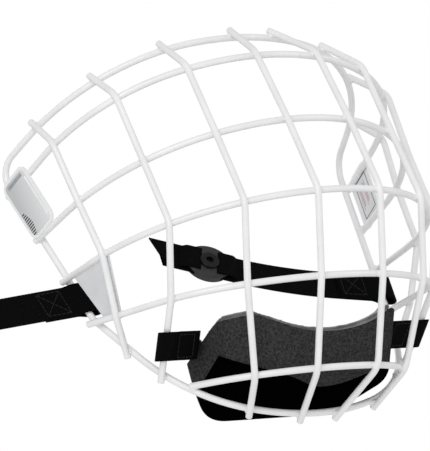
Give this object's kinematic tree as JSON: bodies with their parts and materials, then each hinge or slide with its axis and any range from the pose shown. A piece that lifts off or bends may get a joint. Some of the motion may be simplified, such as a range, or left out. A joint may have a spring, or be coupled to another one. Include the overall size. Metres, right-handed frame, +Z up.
{
  "type": "hockey helmet wire cage",
  "caption": "Full-face wire cage for an ice hockey helmet, with padded chin cup, snap side straps and small temple plates.",
  "frame": {"origin": "centre of the top frame wire on the mid plane, where the helmet's forehead clips hold it", "axes": "+X towards the wearer's left, -Y forward out of the face, +Z up as worn"},
  "size_m": [0.352, 0.1925, 0.2297],
  "materials": {
    "coated_steel": "white satin powder coat on steel wire",
    "clear_coated_sheet": "pale grey satin coated sheet",
    "label_silver": null,
    "label_white": null,
    "black_webbing": "woven black webbing",
    "dark_plastic": "dark grey moulded plastic",
    "socket_plastic": "dark snap socket",
    "cap_plastic": "black snap cap",
    "shell_plastic": "dark grey grained plastic",
    "inlay_plastic": "glossy black inlay",
    "liner_foam": "soft grey foam"
  },
  "bodies": {
    "cage": {"cross_bar_brow": "coated_steel", "cross_bar_chin": "coated_steel", "cross_bar_eye": "coated_steel", "cross_bar_mouth": "coated_steel", "cross_bar_nose": "coated_steel", "frame_wire": "coated_steel", "jaw_plate_right": "clear_coated_sheet", "label_left": "label_white", "label_right": "label_silver", "temple_plate_left": "coated_steel", "temple_plate_right": "coated_steel", "upright_left_1": "coated_steel", "upright_left_2": "coated_steel", "upright_left_3": "coated_steel", "upright_left_4": "coated_steel", "upright_right_1": "coated_steel", "upright_right_2": "coated_steel", "upright_right_3": "coated_steel", "upright_right_4": "coated_steel"},
    "strap_left": {"side_strap_left": "black_webbing"},
    "clasp_left": {"clasp_base_left": "dark_plastic", "snap_socket_left": "socket_plastic", "snap_cap_left": "cap_plastic"},
    "chin_tab_left": {"chin_strap_left": "black_webbing", "chin_rivet_left": "dark_plastic"},
    "strap_right": {"side_strap_right": "black_webbing"},
    "clasp_right": {"clasp_base_right": "dark_plastic", "snap_socket_right": "socket_plastic", "snap_cap_right": "cap_plastic"},
    "chin_tab_right": {"chin_strap_right": "black_webbing", "chin_rivet_right": "dark_plastic"},
    "chin_cup": {"chin_cup_shell": "shell_plastic", "chin_cup_liner": "liner_foam", "chin_cup_inlay": "inlay_plastic"}
  },
  "joints": [
    {"name": "strap_swing_left", "type": "hinge", "parent": "cage", "child": "strap_left", "pos_m": [0.10583, 0.0568, -0.1362], "axis": [-0.1604, -0.4038, -0.9007], "range_deg": [-10, 100]},
    {"name": "clasp_slide_left", "type": "slide", "parent": "strap_left", "child": "clasp_left", "axis": [-0.883, 0.3197, 0.3437], "range_m": [0, 0.014]},
    {"name": "strap_swing_right", "type": "hinge", "parent": "cage", "child": "strap_right", "pos_m": [-0.10583, 0.0568, -0.1362], "axis": [0.1604, -0.4038, -0.9007], "range_deg": [-20, 100]},
    {"name": "clasp_slide_right", "type": "slide", "parent": "strap_right", "child": "clasp_right", "axis": [-0.8697, 0.4925, -0.0326], "range_m": [0, 0.014]},
    {"name": "chin_tab_slide_right", "type": "slide", "parent": "cage", "child": "chin_tab_right", "axis": [0, 0.6112, -0.7915], "range_m": [-0.003, 0.003]},
    {"name": "chin_tab_slide_left", "type": "slide", "parent": "cage", "child": "chin_tab_left", "axis": [0, 0.6112, -0.7915], "range_m": [-0.003, 0.003]},
    {"name": "chin_cup_tilt", "type": "hinge", "parent": "chin_tab_right", "child": "chin_cup", "pos_m": [0, 0.0215, -0.172], "axis": [1, 0, 0], "range_deg": [-6, 6]}
  ],
  "couplings": [
    {"joint": "chin_tab_slide_left", "follows": "chin_tab_slide_right", "ratio": 1}
  ]
}
